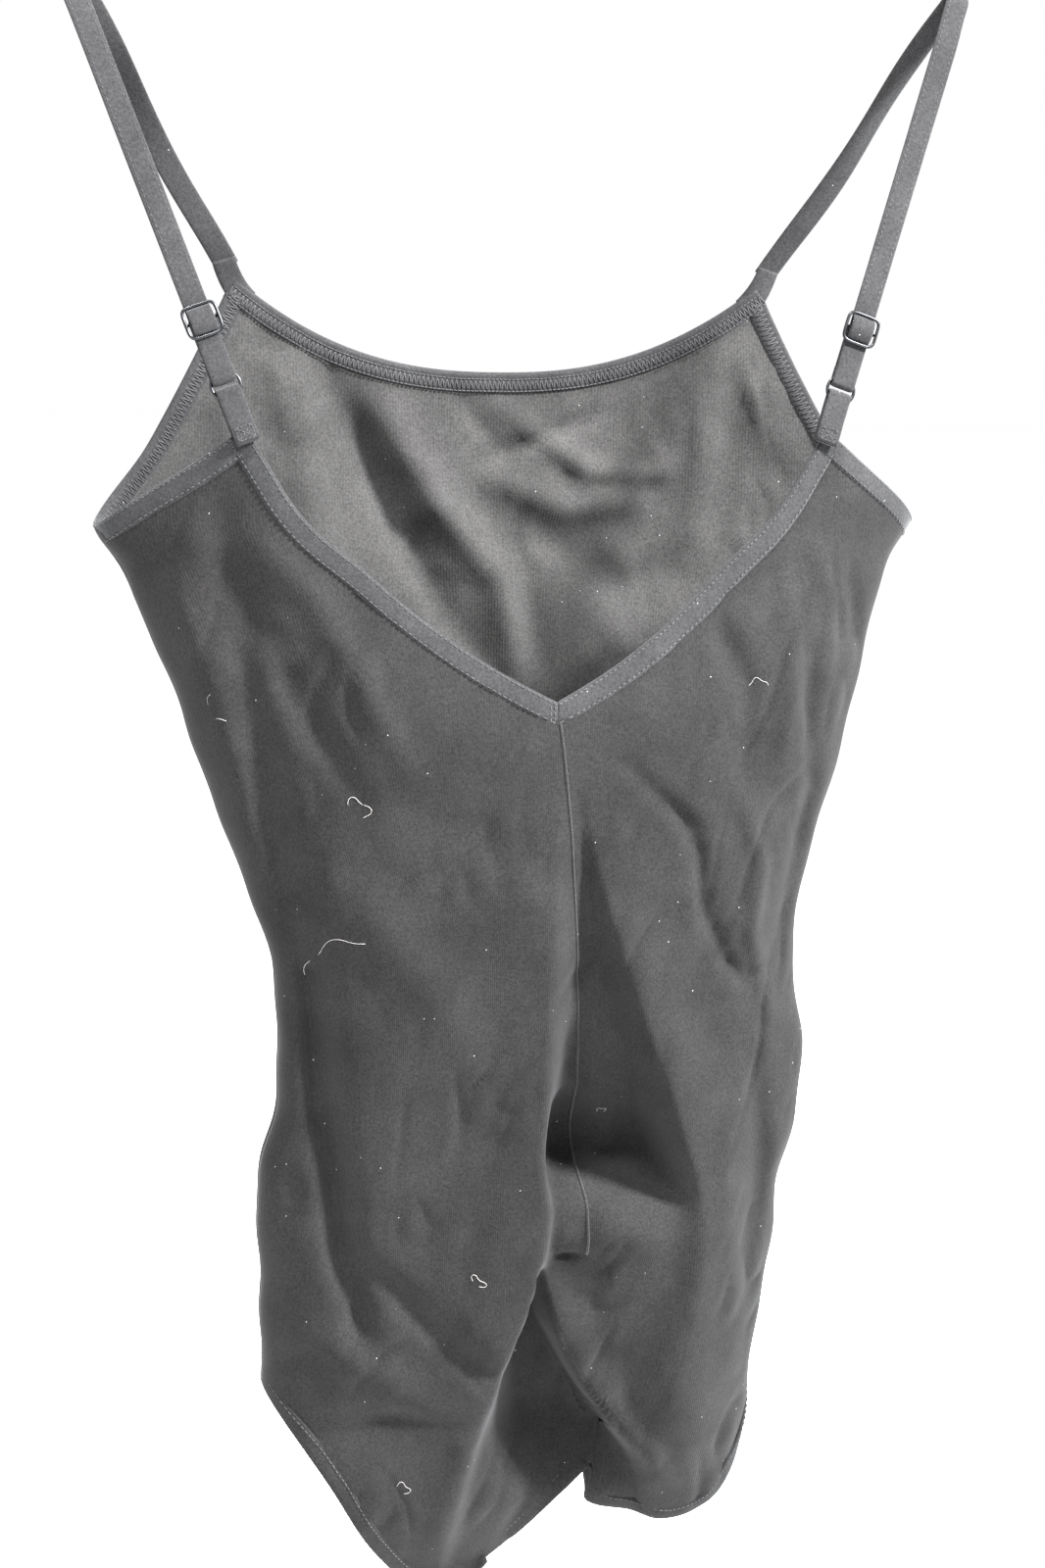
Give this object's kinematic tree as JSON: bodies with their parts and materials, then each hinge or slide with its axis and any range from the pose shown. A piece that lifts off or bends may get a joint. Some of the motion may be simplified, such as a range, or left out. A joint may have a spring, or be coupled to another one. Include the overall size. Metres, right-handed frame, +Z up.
{
  "type": "leotard",
  "caption": "Camisole gymnastics leotard with thin straps on rings and sliders, scooped front, V back, bound edges and high-cut legs, hanging by its straps.",
  "frame": {"origin": "midway between the tops of the two straps, level with the underside of the strap that rests on a hanger", "axes": "+Z up as it hangs; the wearer faces -Y, so the V back faces +Y; +X is the wearer's left"},
  "size_m": [0.4062, 0.1189, 0.7323],
  "materials": {
    "jersey": "matt black cotton and elastane jersey with fine vertical wales",
    "trim": "matt black folded binding with two rows of topstitching",
    "seam_cloth": "overlocked black seam allowance",
    "lining": "thin black knitted lining",
    "elastic": "ribbed black elastic tape",
    "hardware": "smooth black nickel"
  },
  "bodies": {
    "leotard": {"front_panel": "jersey", "back_panel": "jersey", "centre_back_seam": "seam_cloth", "crotch_seam": "jersey", "crotch_lining": "lining", "front_neck_binding": "trim", "front_neck_elastic": "elastic", "back_neck_left_binding": "trim", "back_neck_left_elastic": "elastic", "armhole_left_binding": "trim", "armhole_left_elastic": "elastic", "leg_left_binding": "trim", "leg_left_elastic": "elastic", "side_seam_left": "seam_cloth", "strap_join_left": "trim", "ring_tab_left": "trim", "back_neck_right_binding": "trim", "back_neck_right_elastic": "elastic", "armhole_right_binding": "trim", "armhole_right_elastic": "elastic", "leg_right_binding": "trim", "leg_right_elastic": "elastic", "side_seam_right": "seam_cloth", "strap_join_right": "trim", "ring_tab_right": "trim"},
    "strap_left": {"strap_left": "trim"},
    "slider_left": {"slider_left": "hardware", "strap_end_left": "trim"},
    "ring_left": {"ring_left": "hardware"},
    "strap_right": {"strap_right": "trim"},
    "slider_right": {"slider_right": "hardware", "strap_end_right": "trim"},
    "ring_right": {"ring_right": "hardware"}
  },
  "joints": [
    {"name": "strap_left_swing", "type": "hinge", "parent": "leotard", "child": "strap_left", "pos_m": [0.122, -0.05742, -0.127], "axis": [0.075, 0.7779, -0.6239], "range_deg": [-70, 90], "deforming": ["strap_join_left", "ring_tab_left"]},
    {"name": "slider_left_slide", "type": "slide", "parent": "strap_left", "child": "slider_left", "axis": [0.3351, -0.1721, 0.9263], "range_m": [-0.012, 0.09], "deforming": ["strap_end_left"]},
    {"name": "ring_left_turn", "type": "hinge", "parent": "strap_left", "child": "ring_left", "pos_m": [0.13598, 0.01782, -0.1724], "axis": [0, 0.9833, 0.1821], "continuous": true},
    {"name": "strap_right_swing", "type": "hinge", "parent": "leotard", "child": "strap_right", "pos_m": [-0.122, -0.05742, -0.127], "axis": [0.075, -0.7779, 0.6239], "range_deg": [-70, 90], "deforming": ["strap_join_right", "ring_tab_right"]},
    {"name": "slider_right_slide", "type": "slide", "parent": "strap_right", "child": "slider_right", "axis": [-0.3351, -0.1721, 0.9263], "range_m": [-0.012, 0.09], "deforming": ["strap_end_right"]},
    {"name": "ring_right_turn", "type": "hinge", "parent": "strap_right", "child": "ring_right", "pos_m": [-0.13598, 0.01782, -0.1724], "axis": [0, 0.9833, 0.1821], "continuous": true}
  ]
}
